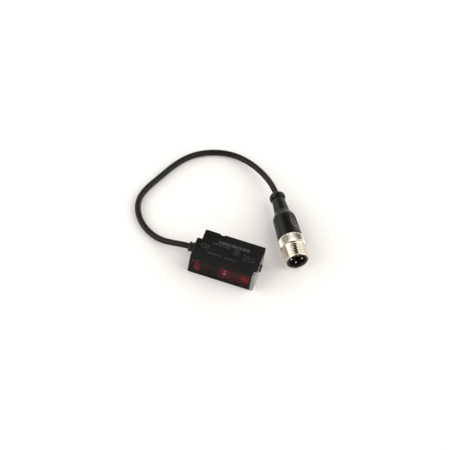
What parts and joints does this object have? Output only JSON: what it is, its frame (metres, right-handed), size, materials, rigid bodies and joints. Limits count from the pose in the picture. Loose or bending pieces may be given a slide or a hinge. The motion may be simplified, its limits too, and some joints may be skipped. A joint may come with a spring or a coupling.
{
  "type": "photoelectric sensor",
  "caption": "Small rectangular photoelectric sensor with a red front window, an indicator cap with a rotary adjuster, and a short cable to a moulded M12 plug with a threaded coupling nut.",
  "frame": {"origin": "midway between the axes of the two M3 inserts, on the large side face that they open from", "axes": "+X along the case towards the indicator cap, +Z from the mounting face through the thickness; the window faces -Y"},
  "size_m": [0.0915, 0.0814, 0.013],
  "materials": {
    "black_moulding": "fine spark-eroded texture",
    "red_window": "polished dark red filter plastic",
    "clear_cap": "milky translucent plastic",
    "insert_brass": "turned",
    "carrier_moulding": "moulded",
    "clear_lens": "polished",
    "board_green": "solder mask",
    "led_clear_package": "clear resin",
    "dark_package": "moulded resin",
    "ceramic_chip": "matt",
    "power_led_package": "clear resin",
    "output_led_package": "clear resin",
    "solder": "satin",
    "trimmer_case": "moulded",
    "trimmer_rotor": "moulded",
    "knob_black": "fine texture",
    "seal_rubber": "matt",
    "grommet_black": "matt",
    "cable_black": "satin jacket",
    "insulation_brown": "satin",
    "insulation_white": "satin",
    "insulation_blue": "satin",
    "insulation_black": "satin",
    "copper": "bare copper strand",
    "grip_black": "satin overmoulding",
    "premould_grey": "moulded",
    "insert_black": "moulded",
    "contact_gold": "gold plated",
    "nickel_plate": "nickel plated brass"
  },
  "bodies": {
    "sensor": {"housing": "black_moulding", "front_window": "red_window", "indicator_cap": "clear_cap", "threaded_inserts": "insert_brass", "optics_carrier": "carrier_moulding", "emitter_lens": "clear_lens", "receiver_lens": "clear_lens", "circuit_board": "board_green", "emitter_led": "led_clear_package", "receiver_photodiode": "dark_package", "processor_chip": "dark_package", "board_components": "ceramic_chip", "power_led": "power_led_package", "output_led": "output_led_package", "solder_joints": "solder", "potentiometer_case": "trimmer_case", "cable_grommet": "grommet_black", "cable_jacket": "cable_black", "wire_brown": "insulation_brown", "wire_white": "insulation_white", "wire_blue": "insulation_blue", "wire_black": "insulation_black", "copper_cores": "copper", "connector_grip": "grip_black", "inner_premould": "premould_grey", "contact_carrier": "insert_black", "contact_pin_1": "contact_gold", "contact_pin_2": "contact_gold", "contact_pin_3": "contact_gold", "contact_pin_4": "contact_gold"},
    "coupling_nut": {"coupling_nut": "nickel_plate"},
    "adjuster": {"adjuster_knob": "knob_black", "potentiometer_rotor": "trimmer_rotor", "adjuster_seal": "seal_rubber"}
  },
  "joints": [
    {"name": "nut_spin", "type": "hinge", "parent": "sensor", "child": "coupling_nut", "pos_m": [0.02538, 0.01557, 0.0065], "axis": [0.4945, -0.8691, 0], "continuous": true},
    {"name": "adjuster_turn", "type": "hinge", "parent": "sensor", "child": "adjuster", "pos_m": [0.0155, -0.0062, 0.0055], "axis": [1, 0, 0], "range_deg": [-135, 135]}
  ]
}
